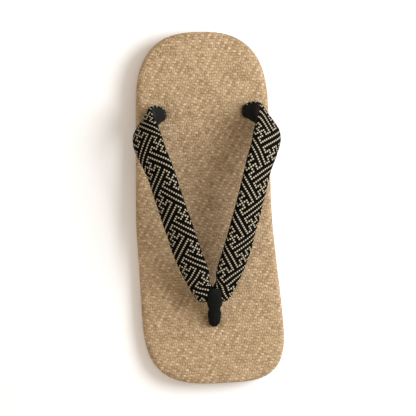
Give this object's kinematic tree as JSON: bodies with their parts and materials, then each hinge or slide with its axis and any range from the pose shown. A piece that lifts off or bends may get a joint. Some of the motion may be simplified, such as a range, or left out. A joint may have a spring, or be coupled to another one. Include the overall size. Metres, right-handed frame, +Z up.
{
  "type": "zori sandal",
  "caption": "Right-foot setta zori: flat cloth-covered footbed on a leather outsole with a heel lift, and padded V straps held by a front thong.",
  "frame": {"origin": "on the floor, under the middle of the shoe's bounding box", "axes": "+Z up, toe towards -Y and heel towards +Y, the wearer's big toe side towards +X"},
  "size_m": [0.11, 0.266, 0.055],
  "materials": {
    "footbed_cloth": "coarse flat-woven natural cloth",
    "sole_leather": "smooth satin chestnut leather with a pale cut edge",
    "heel_rubber": "fine matt tan rubber",
    "nail_brass": "dull brass",
    "strap_cloth": "black cloth with a cream woven key fret",
    "black_cloth": "matt black cloth"
  },
  "bodies": {
    "root": {"footbed": "footbed_cloth", "outsole": "sole_leather", "heel_lift": "heel_rubber", "heel_nail_1": "nail_brass", "heel_nail_2": "nail_brass", "heel_nail_3": "nail_brass", "heel_nail_4": "nail_brass", "heel_nail_5": "nail_brass", "hanao": "strap_cloth", "maetsubo": "black_cloth"}
  },
  "joints": []
}
